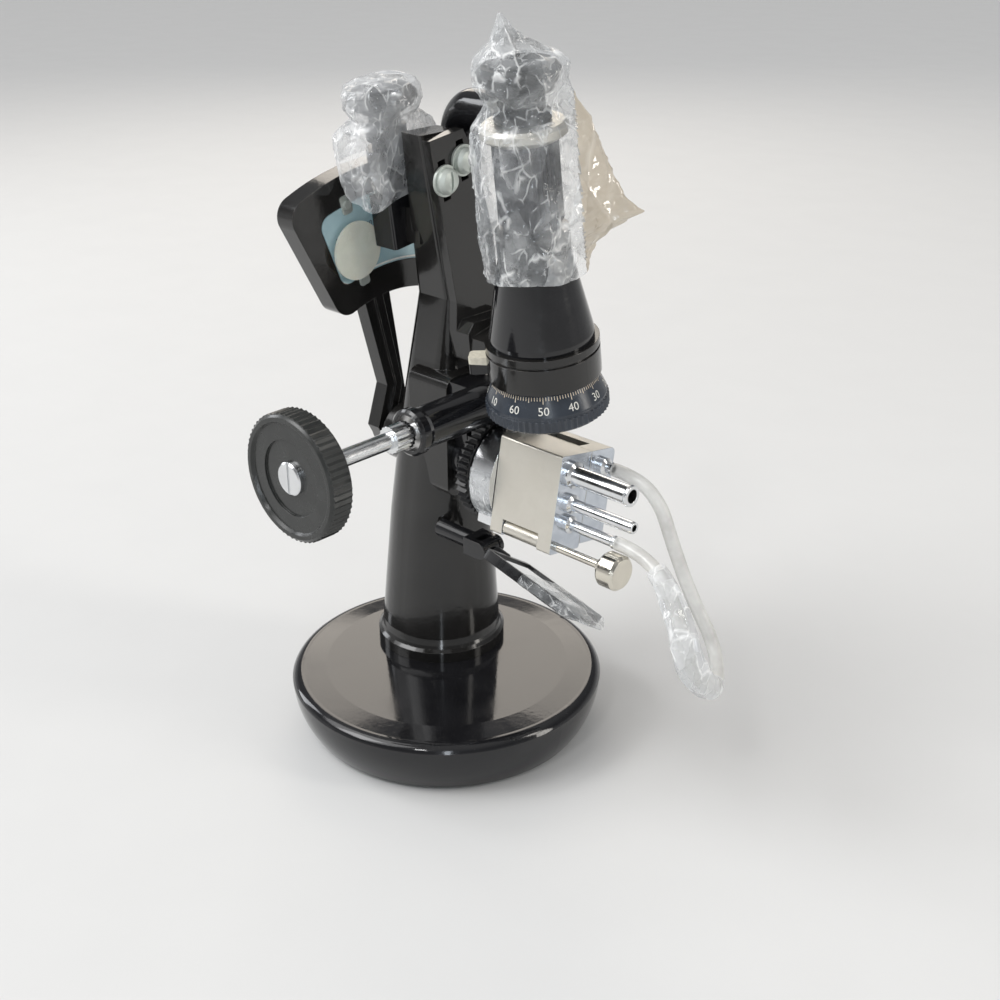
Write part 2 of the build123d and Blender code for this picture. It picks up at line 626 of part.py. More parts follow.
keep("draw_tube", make_draw_tube())
keep("reticle", TELE * rod(EYE_R - SEAT, 1.5, SLEEVE_TOP + 2))
keep("eyepiece", TELE * make_eyepiece(EYE_LOW, EYE_R))
keep("eyecup", TELE * make_eyecup(EYE_LOW, EYE_R, CUP_R))
keep("eye_lens", TELE * Pos(0, 0, EYE_LOW + 4) * lens(EYE_R - 2.5 - SEAT, 2, 1.2))

# ---- compensator: drum and lower prism turn together, the upper cell turns back ----
CELL_R = 15.0


def make_drum():
    rim = DRUM_R - KNURL_DEPTH
    form = turned(
        (CELL_R + 3, DRUM_LOW), (rim - 1, DRUM_LOW), (rim, DRUM_LOW + 1), (rim, DRUM_LOW + 7), (CELL_R + 3, DRUM_LOW + 7),
    )
    band = star(DRUM_R, KNURL_DEPTH, KNURLS, 5, DRUM_LOW + 1.2) - rod(rim - 1, 9, DRUM_LOW)
    bevel = turned(
        (CELL_R + 3, DRUM_LOW + 7), (DRUM_R - 0.8, DRUM_LOW + 7), (DRUM_R - 0.8, DRUM_LOW + 8), (RING_R - 2, DRUM_HIGH),
        (CELL_R + 3, DRUM_HIGH),
    )
    cell = turned(
        (CELL_R - 4, DRUM_LOW + 4), (CELL_R + 3, DRUM_LOW + 4), (CELL_R + 3, DRUM_HIGH), (CELL_R, DRUM_HIGH),
        (CELL_R, DRUM_LOW + 6), (CELL_R - 4, DRUM_LOW + 6),
    )
    return TELE * (form + band + bevel + cell)


def amici(low, degrees):
    """Direct-vision prism, cut from one cemented block."""
    return TELE * Rot(0, 0, degrees) * Pos(0, 0, low) * Box(13, 13, 8, align=STAND)


def make_upper_cell():
    outer = CELL_R - 0.1
    return TELE * turned(
        (9.5, DRUM_HIGH - 3), (outer, DRUM_HIGH - 3), (outer, RING_LOW + 8.5), (9.5, RING_LOW + 8.5),
    )


keep("compensator_drum", make_drum())
keep("lower_amici_prism", amici(DRUM_LOW + 6, 0))
keep("upper_amici_cell", make_upper_cell())
keep("upper_amici_prism", amici(DRUM_HIGH - 2.5, 0))

POINTER_DEG = 216.0


def make_pointer():
    """Index over the drum's edge: lug on the ring, black cone and white tip."""
    lug = Pos(RING_R + 3, 0, RING_LOW + 5) * Box(10, 8, 8)
    lug = fillet(lug.edges().filter_by(Axis.Z), 1.5) - rod(RING_R, 60, RING_LOW - 20)
    cone = Pos(RING_R + 5.5, 0, RING_LOW + 1.6) * Rot(0, -100, 0) * Cone(2.8, 0.6, 7, align=STAND)
    return TELE * Rot(0, 0, POINTER_DEG) * (lug + cone - rod(RING_R, 40, RING_LOW))


keep("index_pointer", make_pointer())

# ---- reading microscope beside the arm ----
MICRO_X = SECTOR_X1 + 1.0 + MICRO_TUBE_R
MICRO_HEAD = 34.0
MICRO_BORE_R = MICRO_TUBE_R - 3.0
MICRO = Pos(MICRO_X, MICRO_Y, MICRO_Z) * Rot(TELE_LEAN, 0, 0)


def make_microscope_body():
    house = fillet(Box(MICRO_W, MICRO_D, MICRO_H, align=STAND).edges().filter_by(Axis.Z), 2)
    barrel = turned((0, 12), (7, 12), (MICRO_TUBE_R, 16), (MICRO_TUBE_R, MICRO_HEAD), (0, MICRO_HEAD))
    return MICRO * (Pos(0, 0, -MICRO_H / 2) * house + barrel - rod(MICRO_BORE_R, MICRO_HEAD, 14))


def make_microscope_bracket():
    """Foot on the arm's left side that carries the microscope housing."""
    x0 = MICRO_X + MICRO_W / 2
    z = MICRO_Z
    front = tip_y - 2
    foot = slab([(front, z - 10), (front + 16, z - 12), (front + 17, z + 6), (front, z + 6)], x0, ARM_FACE_X - TIP_W + 1)
    return foot - nodes["column"] - MICRO * Pos(-10, 0, 0) * Box(MICRO_W + 20 + 2 * SEAT, 60, 60)


def make_microscope_eyepiece():
    """Focusing eyepiece: sliding stem, knurled collar and flange."""
    stem = MICRO_BORE_R - RUN
    inner = stem - 2
    low = MICRO_HEAD - 14
    return MICRO * turned(
        (inner, low), (stem, low), (stem, MICRO_HEAD + 4), (MICRO_TUBE_R - 1, MICRO_HEAD + 4),
        (MICRO_TUBE_R - 1, MICRO_HEAD + 10), (MICRO_TUBE_R - 3, MICRO_HEAD + 11), (MICRO_TUBE_R - 3, MICRO_HEAD + 15),
        (MICRO_TUBE_R, MICRO_HEAD + 17), (MICRO_TUBE_R, MICRO_HEAD + 18), (5, MICRO_HEAD + 18), (5, MICRO_HEAD + 14),
        (inner, MICRO_HEAD + 12),
    )


keep("microscope_body", make_microscope_body())
keep("microscope_objective", MICRO * Pos(-MICRO_W / 2, 0, 0) * Rot(0, -90, 0) * turned((0, 0), (5.5, 0), (5.5, 1.2), (4.5, 1.8), (0, 1.8)))
keep("microscope_bracket", make_microscope_bracket())
keep("microscope_eyepiece", make_microscope_eyepiece())
keep("microscope_eyecup", MICRO * make_eyecup(MICRO_HEAD + 4, MICRO_TUBE_R - 3.5, 16.2))
keep("microscope_eye_lens", MICRO * Pos(0, 0, MICRO_HEAD + 7) * lens(MICRO_BORE_R - RUN - 2 - SEAT, 1.6, 1))

# ---- opal reflector disc on the microscope housing, just clear of the scale ----
OPAL_Y, OPAL_Z, OPAL_R = -13.0, 243.0, 14.0
OPAL_X = SECTOR_X1 + CLIP_H + CLIP_HEAD_H + 0.5


def make_opal_disc():
    thick = MICRO_X - MICRO_W / 2 - SEAT - OPAL_X
    return along_x(OPAL_X, OPAL_Y, OPAL_Z) * turned(
        (0, 0), (OPAL_R - 0.6, 0), (OPAL_R, 0.6), (OPAL_R, thick), (0, thick),
    )


keep("opal_disc", make_opal_disc())

# ---- mirror on a drooping swivel under the prisms ----
PIVOT_X, PIVOT_Y, PIVOT_Z = 30.0, 0.0, 106.5
PIVOT = Pos(PIVOT_X, PIVOT_Y, PIVOT_Z)
DROOP = PIVOT * Rot(0, MIRROR_DROOP, 0)
TILT = DROOP * Rot(-MIRROR_TILT, 0, 0)
TRAY_GAP = 12.0
TRUNNION_R = 1.5
CHEEK_Y = 4.3


def turned_x(place, x, piece):
    """Piece drawn on local Z, laid along the place's X from x."""
    return place * Plane(origin=(x, 0, 0), x_dir=(0, 1, 0), z_dir=(1, 0, 0)).location * piece


def make_mirror_stem():
    """Rod out of the column with two cheeks and the pin that carries the knuckle."""
    length = PIVOT_X + 2
    stem = turned_x(PIVOT, -length, rod(4.5, length - 6))
    block = PIVOT * Pos(-7.5, 0, 0) * Box(5, 2 * CHEEK_Y + 5, 9)
    cheek = Plane(origin=(0, CHEEK_Y, 0), x_dir=(1, 0, 0), z_dir=(0, 1, 0)).location * rod(4.5, 2.5)
    cheek += Pos(-4, CHEEK_Y + 1.25, 0) * Box(8, 2.5, 9)
    pin = Plane(origin=(0, -CHEEK_Y, 0), x_dir=(1, 0, 0), z_dir=(0, 1, 0)).location * rod(TRUNNION_R, 2 * CHEEK_Y)
    return stem + block + PIVOT * (cheek + mirror(cheek, Plane.XZ) + pin) - nodes["column"]


def make_mirror_knuckle():
    barrel = Plane(origin=(0, -CHEEK_Y + FACE, 0), x_dir=(1, 0, 0), z_dir=(0, 1, 0)).location
    length = 2 * (CHEEK_Y - FACE)
    body = DROOP * barrel * rod(4.2, length) + turned_x(DROOP, 0, rod(TRUNNION_R, TRAY_GAP + 1.5))
    return body - DROOP * barrel * rod(TRUNNION_R + RUN, length)


def make_mirror_tray():
    tray = Pos(TRAY_GAP + MIRROR_L / 2, 0, 0) * Box(MIRROR_L, MIRROR_W, MIRROR_T)
    tray = fillet(tray.edges().filter_by(Axis.Z), 3)
    tray -= Pos(TRAY_GAP + MIRROR_L / 2, 0, 2) * Box(MIRROR_L - 5, MIRROR_W - 5, MIRROR_T)
    lug = turned_x(TILT, 5.2, rod(3.4, TRAY_GAP - 5.0))
    return TILT * tray + lug - turned_x(TILT, 5, rod(TRUNNION_R + RUN, TRAY_GAP - 3.3))


keep("mirror_stem", make_mirror_stem())
keep("mirror_knuckle", make_mirror_knuckle())
keep("mirror_tray", make_mirror_tray())
keep("mirror_glass", TILT * Pos(TRAY_GAP + MIRROR_L / 2, 0, 0.5 + SEAT) * Box(MIRROR_L - 5.2, MIRROR_W - 5.2, 2))

# ---- rounded elbow that rises behind the arm towards the telescope ----
STAY_R = 9.5
STAY_X = ARM_FACE_X - STAY_R - FACE
STAY_ROUTE = [(STAY_X, 29.5, MICRO_Z + 9), (STAY_X, 29.5, 307.0), (18.0, 24.0, 309.0)]


def make_stay():
    path = FilletPolyline(*STAY_ROUTE, radius=14)
    body = sweep(Plane(origin=STAY_ROUTE[0], z_dir=(0, 0, 1)) * Circle(STAY_R), path=path)
    for y, z in SLOT_PLACES:
        body -= along_x(ARM_FACE_X - 9, y, z) * rod(SCREW_R + FACE, 10)
    notch = Box(PLATE_T + 2 * FACE, 60, 60, align=(Align.CENTER, Align.MAX, Align.MAX))
    plate_back, plate_top = arm_point(-1, TIP_D + 2)
    body -= Pos(ARM_FACE_X + PLATE_T / 2, plate_back, plate_top + FACE) * notch
    return body - nodes["column"]


keep("telescope_stay", make_stay())

# ---- clear dust bags left on both eyepieces and on the mirror's end ----
BAG_SIDES = 20


def bag(place, sections):
    """Thin shell lofted through (height, half width, half depth, sideways offset) sections, open at its mouth."""

    def ring(z, a, b, shift):
        turns = [2 * math.pi * i / BAG_SIDES for i in range(BAG_SIDES)]
        return make_face(Polyline(*[(shift + a * math.cos(t), b * math.sin(t), z) for t in turns], close=True))

    def form(shrink, drop):
        rings = []
        for i, (z, a, b, shift) in enumerate(sections):
            rings.append(ring(z - (shrink if i else drop), a - shrink, b - shrink, shift))
        return loft(rings, ruled=True)

    return place * (form(0, 0) - form(FILM, 0.1))


BAG_TURN = 43.0
TELE_BAG = [
    (CONE_TOP + 6, 20.5, 19.5, 0), (GRIP_LOW - 1, 32.5, 20.5, 12.5), (GRIP_LOW + 14, 28.5, 20.5, 8),
    (GRIP_HIGH - 1, 22.5, 20.3, 2), (EYE_LOW + 12, 19.4, 19.4, 0), (EYE_LOW + 24, 19, 19, 0), (EYE_LOW + 38, 4, 4, -8),
]
MICRO_BAG = [
    (30, 12.2, 24, 0), (MICRO_HEAD + 4, 12.2, 24, 0), (MICRO_HEAD + 19, 17.6, 19, 0), (MICRO_HEAD + 27, 17.6, 18, 0),
    (MICRO_HEAD + 31, 12, 12, 0),
]
MIRROR_BAG_L = 34.0
keep("telescope_bag", bag(TELE * Rot(0, 0, BAG_TURN), TELE_BAG))
keep("microscope_bag", bag(MICRO, MICRO_BAG))


def make_mirror_bag():
    x = TRAY_GAP + MIRROR_L + 11 - MIRROR_BAG_L / 2
    outer = Box(MIRROR_BAG_L, MIRROR_W + 2 * FACE + 2 * FILM, MIRROR_T + 2 * FACE + 2 * FILM)
    inner = Pos(-FILM, 0, 0) * Box(MIRROR_BAG_L, MIRROR_W + 2 * FACE, MIRROR_T + 2 * FACE)
    return TILT * Pos(x, 0, 0) * (outer - inner)


keep("mirror_bag", make_mirror_bag())

for name, piece in nodes.items():
    export_step(piece, f"parts/{name}.step")
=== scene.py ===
import json
import math
import random

import bpy
from mathutils import Matrix, Vector, noise

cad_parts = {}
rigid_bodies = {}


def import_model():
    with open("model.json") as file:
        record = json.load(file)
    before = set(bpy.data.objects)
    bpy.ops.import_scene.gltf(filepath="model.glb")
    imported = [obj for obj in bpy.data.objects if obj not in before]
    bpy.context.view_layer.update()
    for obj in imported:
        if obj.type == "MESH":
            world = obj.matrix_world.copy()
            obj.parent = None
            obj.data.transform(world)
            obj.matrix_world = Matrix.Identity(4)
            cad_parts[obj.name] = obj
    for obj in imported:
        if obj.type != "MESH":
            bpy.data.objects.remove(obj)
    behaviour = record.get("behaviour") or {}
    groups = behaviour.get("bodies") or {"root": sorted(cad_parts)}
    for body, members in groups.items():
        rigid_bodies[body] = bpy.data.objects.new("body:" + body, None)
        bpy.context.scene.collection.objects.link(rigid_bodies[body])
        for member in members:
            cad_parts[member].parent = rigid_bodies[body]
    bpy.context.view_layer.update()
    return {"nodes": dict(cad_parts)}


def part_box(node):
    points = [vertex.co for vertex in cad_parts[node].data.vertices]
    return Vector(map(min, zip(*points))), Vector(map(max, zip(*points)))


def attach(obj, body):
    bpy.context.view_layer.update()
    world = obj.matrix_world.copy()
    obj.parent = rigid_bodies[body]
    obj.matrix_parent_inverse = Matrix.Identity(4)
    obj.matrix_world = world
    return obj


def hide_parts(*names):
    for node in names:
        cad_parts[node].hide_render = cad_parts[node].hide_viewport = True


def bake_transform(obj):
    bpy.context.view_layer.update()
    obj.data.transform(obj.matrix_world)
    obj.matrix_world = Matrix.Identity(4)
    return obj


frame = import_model()
nodes = frame["nodes"]
random.seed(11)
MM = 0.001

# ---- places shared with the solids, in millimetres ----
AXLE_Y, AXLE_Z = 14.0, 143.5
DRUM_LOW, DRUM_HIGH, DRUM_R, RING_R = 43.0, 60.0, 28.0, 25.5
SECTOR_FACE_X = -45.0
WINDOW_IN_R, WINDOW_OUT_R = 88.0, 125.0
CONE_TOP, GRIP_LOW, GRIP_HIGH, EYE_LOW = 114.0, 132.0, 166.0, 174.5
TRAY_GAP, TRAY_L, TRAY_W, TRAY_T = 12.0, 50.0, 44.0, 5.0
FLANGE_X, FLANGE_R = 28.0, 25.0


def place(x, y, z, *turns):
    """Matrix at a point in mm, turned by (degrees, axis) pairs in order."""
    m = Matrix.Translation((x * MM, y * MM, z * MM))
    for degrees, axis in turns:
        m = m @ Matrix.Rotation(math.radians(degrees), 4, axis)
    return m


TELE = place(60.5, AXLE_Y, AXLE_Z, (8, "X"))
MICRO = place(-33.5, 6, 257, (8, "X"))
TILT = place(30, 0, 106.5, (13.5, "Y"), (-35, "X"))

# ---- camera ----
camera = bpy.data.objects.new("camera", bpy.data.cameras.new("camera"))
bpy.context.scene.collection.objects.link(camera)
camera.data.angle = math.radians(38.68)
camera.location = (0.45687, -0.44432, 0.42440)
aim = Vector((-0.0017, 0.0423, 0.1069)) - camera.location
camera.rotation_euler = aim.to_track_quat("-Z", "Y").to_euler()
bpy.context.scene.camera = camera

# ---- hose ----
HOSE_ROUTE = [
    (86.0, 25.468, 156.709), (101.0, 25.468, 156.709), (114.0, 25.0, 148.0), (120.5, 26.0, 131.0),
    (130.5, 28.0, 108.0), (146.0, 30.0, 83.5), (162.5, 8.0, 77.5), (163.0, -14.0, 98.0),
    (151.0, -9.5, 121.5), (127.5, 1.431, 135.562), (108.3, 1.431, 135.562),
]


def tube_mesh(name, points, radius):
    """Mesh tube about an open NURBS spline, from control points in mm, and the points that its centreline follows."""
    curve = bpy.data.curves.new(name, "CURVE")
    curve.dimensions = "3D"
    spline = curve.splines.new("NURBS")
    spline.points.add(len(points) - 1)
    for point, at in zip(spline.points, points):
        point.co = (at[0] * MM, at[1] * MM, at[2] * MM, 1)
    spline.order_u = 3
    spline.use_endpoint_u = True
    curve.resolution_u = 16
    source = bpy.data.objects.new("route", curve)
    line = bpy.data.meshes.new_from_object(source)
    path = [tuple(v.co) for v in line.vertices]
    curve.bevel_depth = radius * MM
    curve.bevel_resolution = 5
    made = bpy.data.objects.new(name, bpy.data.meshes.new_from_object(source))
    made.data.shade_smooth()
    bpy.context.scene.collection.objects.link(made)
    for spare in (source, line, curve):
        bpy.data.batch_remove([spare])
    return made, path


hose, hose_path = tube_mesh("water_hose", HOSE_ROUTE, 3.2)
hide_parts("jacket_hose")


# ---- materials ----
class Finish:
    """Principled material whose patterns lie in the part's own metres."""

    def __init__(self, name, color, roughness, **sockets):
        self.material = bpy.data.materials.new(name)
        self.material.use_nodes = True
        self.tree = self.material.node_tree
        self.shader = self.tree.nodes["Principled BSDF"]
        self.where = self.tree.nodes.new("ShaderNodeTexCoord").outputs["Object"]
        self.shader.inputs["Base Color"].default_value = (*color, 1)
        self.shader.inputs["Roughness"].default_value = roughness
        for socket, value in sockets.items():
            self.shader.inputs[socket.replace("_", " ")].default_value = value

    def add(self, kind, **inputs):
        made = self.tree.nodes.new("ShaderNode" + kind)
        for key, value in inputs.items():
            key = int(key[1:]) if key[0] == "i" and key[1:].isdigit() else key.replace("_", " ")
            if isinstance(value, bpy.types.NodeSocket):
                self.tree.links.new(value, made.inputs[key])
            else:
                made.inputs[key].default_value = value
        return made

    def stretched(self, stretch):
        made = self.add("Mapping", Vector=self.where)
        made.inputs["Scale"].default_value = stretch
        return made.outputs[0]

    def noise(self, size, detail=3.0, stretch=None, distortion=0.0):
        """Soft noise whose features are about size mm across."""
        at = self.stretched(stretch) if stretch else self.where
        made = self.add("TexNoise", Vector=at, Scale=1000 / size, Detail=detail, Distortion=distortion)
        return made.outputs[0]

    def vectors(self, operation, a, b):
        made = self.add("VectorMath", i0=a, i1=b)
        made.operation = operation
        return made.outputs["Value" if operation in ("DOT_PRODUCT", "DISTANCE") else "Vector"]

    def wander(self, color, reach):
        """Small shift, up to about reach mm each way, from a noise colour."""
        made = self.add("VectorMath", i0=self.vectors("SUBTRACT", color, (0.5, 0.5, 0.5)))
        made.operation = "SCALE"
        made.inputs["Scale"].default_value = reach * MM
        return made.outputs[0]

    def spread(self, value, low, high, to_low=0.0, to_high=1.0):
        made = self.add("MapRange", Value=value, From_Min=low, From_Max=high, To_Min=to_low, To_Max=to_high)
        return made.outputs[0]

    def maths(self, operation, a, b=0.0):
        made = self.add("Math", i0=a, i1=b)
        made.operation = operation
        return made.outputs[0]

    def shade(self, value, *stops):
        """Colour ramp from (place, colour) stops."""
        made = self.add("ValToRGB", Fac=value)
        ramp = made.color_ramp.elements
        while len(ramp) < len(stops):
            ramp.new(0.5)
        for element, (at, color) in zip(ramp, stops):
            element.position = at
            element.color = (*color, 1)
        return made.outputs[0]

    def blend(self, value, a, b):
        """Mix two colours or colour sockets."""
        made = self.tree.nodes.new("ShaderNodeMix")
        made.data_type = "RGBA"
        for socket, entry in ((made.inputs[0], value), (made.inputs[6], a), (made.inputs[7], b)):
            if isinstance(entry, bpy.types.NodeSocket):
                self.tree.links.new(entry, socket)
            else:
                socket.default_value = entry if isinstance(entry, float) else (*entry, 1)
        return made.outputs[2]

    def feed(self, socket, value):
        self.tree.links.new(value, self.shader.inputs[socket])

    def edges(self, radius=0.5):
        """Rounded normal and a mask of the worn edges."""
        soft = self.tree.nodes.new("ShaderNodeBevel")
        soft.samples = 4
        soft.inputs["Radius"].default_value = radius * MM
        plain = self.tree.nodes.new("ShaderNodeNewGeometry").outputs["Normal"]
        dot = self.tree.nodes.new("ShaderNodeVectorMath")
        dot.operation = "DOT_PRODUCT"
        self.tree.links.new(soft.outputs[0], dot.inputs[0])
        self.tree.links.new(plain, dot.inputs[1])
        return soft.outputs[0], self.spread(dot.outputs["Value"], 0.86, 0.99, 1.0, 0.0)

    def bump(self, height, depth, strength=1.0, normal=None):
        """Relief of the given depth in mm."""
        made = self.add("Bump", Height=height, Strength=strength, Distance=depth * MM)
        if normal:
            self.tree.links.new(normal, made.inputs["Normal"])
        return made.outputs[0]


def enamel(name, dark, rubbed, low, high, peel):
    """Stoved paint on a casting: orange peel, finger smears, dust on top and thin edges."""
    f = Finish(name, dark, low, Specular_IOR_Level=0.42, Coat_Weight=0.25, Coat_Roughness=0.04)
    rounded, edge = f.edges(0.6)
    smear = f.noise(26, 5, distortion=0.8)
    speck = f.spread(f.noise(1.4, 3), 0.66, 0.80)
    up = f.add("SeparateXYZ", i0=f.tree.nodes.new("ShaderNodeNewGeometry").outputs["Normal"]).outputs[2]
    dust = f.maths("MULTIPLY", speck, f.spread(up, 0.2, 1.0, 0.02, 0.35))
    tint = f.shade(smear, (0.3, dark), (0.75, [c * 1.5 + 0.002 for c in dark]))
    worn = f.maths("MULTIPLY", edge, f.spread(f.noise(5, 4), 0.45, 0.65))
    f.feed("Base Color", f.blend(dust, f.blend(worn, tint, rubbed), (0.11, 0.10, 0.09)))
    f.feed("Roughness", f.maths("ADD", f.spread(smear, 0.3, 0.7, low, high), f.maths("MULTIPLY", dust, 0.4)))
    f.feed("Normal", f.bump(f.noise(2.2, 2), peel, 0.6, rounded))
    return f.material


def metal(name, color, low, high, grain, size=0.5, scratch=0.012, tarnish=0.86):
    """Plated or turned metal with grain drawn out along its working direction."""
    f = Finish(name, color, low, Metallic=1.0)
    rounded, edge = f.edges(0.35)
    brushed = f.noise(size, 4, grain)
    cloud = f.noise(9, 5, distortion=0.6)
    tint = f.shade(cloud, (0.3, [c * tarnish for c in color]), (0.62, color))
    f.feed("Base Color", f.blend(f.maths("MULTIPLY", edge, 0.4), tint, [min(1, c * 1.15) for c in color]))
    f.feed("Roughness", f.maths("ADD", f.spread(cloud, 0.3, 0.7, low, high), f.spread(brushed, 0.3, 0.7, 0.0, 0.06)))
    f.feed("Normal", f.bump(brushed, scratch, 0.5, rounded))
    return f.material


def jacket_finish():
    """Satin plating on the prism jackets, with a smooth polish on the end faces that carry the nozzles and a painted
    bluish reflection laid into their colour.
    """
    f = Finish("satin_nickel", (0.74, 0.71, 0.64), 0.36, Metallic=1.0)
    rounded, edge = f.edges(0.35)
    across = f.add("SeparateXYZ", i0=f.tree.nodes.new("ShaderNodeNewGeometry").outputs["Normal"]).outputs[0]
    # mask of the end faces: it lowers the roughness for their real polish and brings in the painted bluish reflection
    # colour
    end = f.spread(f.maths("ABSOLUTE", across), 0.90, 0.97)
    cloud = f.noise(9, 5, distortion=0.6)
    brushed = f.noise(0.35, 4, (1.0, 0.1, 0.06))
    satin = f.shade(cloud, (0.3, (0.69, 0.66, 0.59)), (0.62, (0.74, 0.71, 0.64)))
    # painted reflection: a darker, bluer copy of the plating colour, used on the end faces
    painted_blue_reflection = f.shade(cloud, (0.35, (0.52, 0.56, 0.62)), (0.65, (0.66, 0.70, 0.76)))
    plate_and_reflection = f.blend(end, satin, painted_blue_reflection)
    f.feed("Base Color", f.blend(f.maths("MULTIPLY", edge, 0.4), plate_and_reflection, (0.85, 0.82, 0.75)))
    f.feed("Roughness", f.maths("SUBTRACT", f.spread(cloud, 0.3, 0.7, 0.30, 0.44), f.maths("MULTIPLY", end, 0.17)))
    f.feed("Normal", f.bump(brushed, 0.02, 0.5, rounded))
    return f.material


def moulded(name, color, low, high, grain_size, grain_depth, wear=1.6):
    """Moulded plastic or rubber with its fine texture and paler handled edges."""
    f = Finish(name, color, low, Specular_IOR_Level=0.45)
    rounded, edge = f.edges(0.5)
    cloud = f.noise(8, 4)
    tint = f.shade(cloud, (0.35, color), (0.8, [c * wear for c in color]))
    pale = [c * 2.2 + 0.012 for c in color]
    f.feed("Base Color", f.blend(f.maths("MULTIPLY", edge, 0.45), tint, pale))
    f.feed("Roughness", f.spread(cloud, 0.3, 0.7, low, high))
    f.feed("Normal", f.bump(f.noise(grain_size, 2), grain_depth, 0.5, rounded))
    return f.material


def clear_glass(name, tint, roughness=0.02):
    f = Finish(name, tint, roughness, Transmission_Weight=1.0, IOR=1.5)
    smear = f.noise(6, 4)
    f.feed("Base Color", f.shade(smear, (0.3, [c * 0.93 for c in tint]), (0.6, tint)))
    f.feed("Roughness", f.spread(smear, 0.4, 0.8, roughness, roughness + 0.08))
    return f.material


def film(name, clear, milky, thin, thick, size):
    """Thin clear film: flat panes at random tilts, straight creases between some, soft milkiness, and bright creases
    whose white is a painted highlight.
    """
    f = Finish(name, clear, 0.1, Specular_IOR_Level=1.0, IOR=1.7)
    bent = f.add("TexNoise", Vector=f.where, Scale=1000 / size, Detail=1.0)
    panes, tilts, crease_lines_and_highlights = [], None, None
    for share, stretch, weight in ((1.0, (1.0, 1.0, 0.4), 1.0), (0.62, (0.7, 1.0, 0.5), 0.75)):
        at = f.add("VectorMath", i0=f.stretched(stretch), i1=f.wander(bent.outputs["Color"], size * 0.35)).outputs[0]
        scale = 1000 / (size * share)
        cell = f.add("TexVoronoi", Vector=at, Scale=scale)
        border = f.add("TexVoronoi", Vector=at, Scale=scale)
        border.feature = "DISTANCE_TO_EDGE"
        away = f.vectors("SUBTRACT", at, cell.outputs["Position"])
        lean = f.vectors("DOT_PRODUCT", away, f.vectors("SUBTRACT", cell.outputs["Color"], (0.5, 0.5, 0.5)))
        # crease line: a bright line along some pane borders, a painted highlight in the colour and cover, and also a
        # small real relief in the bump
        line = f.maths("MULTIPLY", f.spread(border.outputs["Distance"], 0.0, 0.07, weight, 0.0),
                       f.spread(f.noise(size * share, 1), 0.47, 0.60))
        tilts = f.maths("ADD", tilts, lean) if tilts else lean
        crease_lines_and_highlights = f.maths("MAXIMUM", crease_lines_and_highlights, line) if crease_lines_and_highlights else line
        panes.append(f.add("SeparateXYZ", i0=cell.outputs["Color"]).outputs[0])
    broad = f.maths("MULTIPLY", f.spread(panes[0], 0.3, 1.0), f.spread(panes[1], 0.0, 0.8, 0.35, 1.0))
    soft = f.spread(f.noise(size * 1.8, 3, distortion=0.6), 0.42, 0.68, 0.0, 0.26)
    # milkiness of the panes and soft clouds, plus the crease line as a painted highlight; it whitens the colour and
    # thickens the cover
    haze_and_highlights = f.maths("ADD", f.maths("MULTIPLY", broad, 0.34), f.maths("ADD", soft, f.maths("MULTIPLY", crease_lines_and_highlights, 0.72)))
    side = f.add("LayerWeight", Blend=0.3).outputs["Facing"]
    cover = f.maths("ADD", f.maths("MULTIPLY", haze_and_highlights, 0.8), f.maths("MULTIPLY", side, 0.5))
    # milky white where the film is cloudy, and painted highlight white along the creases
    f.feed("Base Color", f.blend(haze_and_highlights, clear, milky))
    f.feed("Alpha", f.spread(cover, 0.0, 1.0, thin, thick))
    f.feed("Roughness", f.spread(panes[1], 0.2, 0.9, 0.04, 0.22))
    f.feed("Normal", f.bump(f.maths("ADD", tilts, f.maths("MULTIPLY", crease_lines_and_highlights, 0.0003)), 1000.0, 0.8))
    return f.material


def tinted(name, color, other, low, high, size, depth, **sockets):
    """Painted, opal or felt surface with a gentle change of colour and a fine relief."""
    f = Finish(name, color, low, **sockets)
    cloud = f.noise(size, 4)
    f.feed("Base Color", f.shade(cloud, (0.35, color), (0.7, other)))
    f.feed("Roughness", f.spread(cloud, 0.3, 0.7, low, high))
    f.feed("Normal", f.bump(f.noise(size * 0.12, 3), depth, 0.6))
    return f.material


black = enamel("black_enamel", (0.007, 0.007, 0.008), (0.05, 0.046, 0.042), 0.06, 0.17, 0.04)
casting = enamel("casting_enamel", (0.010, 0.0095, 0.009), (0.075, 0.068, 0.06), 0.08, 0.22, 0.07)
chrome_x = metal("chrome_along_x", (0.78, 0.79, 0.80), 0.06, 0.20, (1.0, 0.05, 0.05))
chrome_y = metal("chrome_along_y", (0.76, 0.77, 0.78), 0.07, 0.22, (0.05, 1.0, 0.05))
steel = metal("turned_steel", (0.58, 0.57, 0.56), 0.2, 0.36, (0.05, 0.05, 1.0))
nickel = jacket_finish()
knob_nickel = metal("knob_nickel", (0.76, 0.72, 0.63), 0.08, 0.2, (1.0, 0.05, 0.05))
zinc = metal("zinc_screw", (0.60, 0.64, 0.60), 0.42, 0.58, (0.4, 1.0, 1.0), 0.4)
zinc.node_tree.nodes["Principled BSDF"].inputs["Metallic"].default_value = 0.6
brass = metal("turned_brass", (0.78, 0.58, 0.26), 0.2, 0.34, (0.05, 0.05, 1.0))
bronze = metal("bush_bronze", (0.55, 0.37, 0.18), 0.28, 0.42, (1.0, 0.1, 0.1))
knob_plastic = moulded("knob_plastic", (0.020, 0.021, 0.020), 0.16, 0.28, 0.5, 0.006)
drum_plastic = moulded("drum_lacquer", (0.028, 0.034, 0.044), 0.18, 0.30, 0.4, 0.008)
eyepiece_plastic = moulded("eyepiece_plastic", (0.012, 0.012, 0.012), 0.14, 0.26, 0.6, 0.01)
rubber = moulded("eyecup_rubber", (0.022, 0.022, 0.022), 0.55, 0.72, 0.3, 0.05)
tray_plastic = moulded("tray_plastic", (0.012, 0.012, 0.013), 0.24, 0.36, 0.7, 0.04)
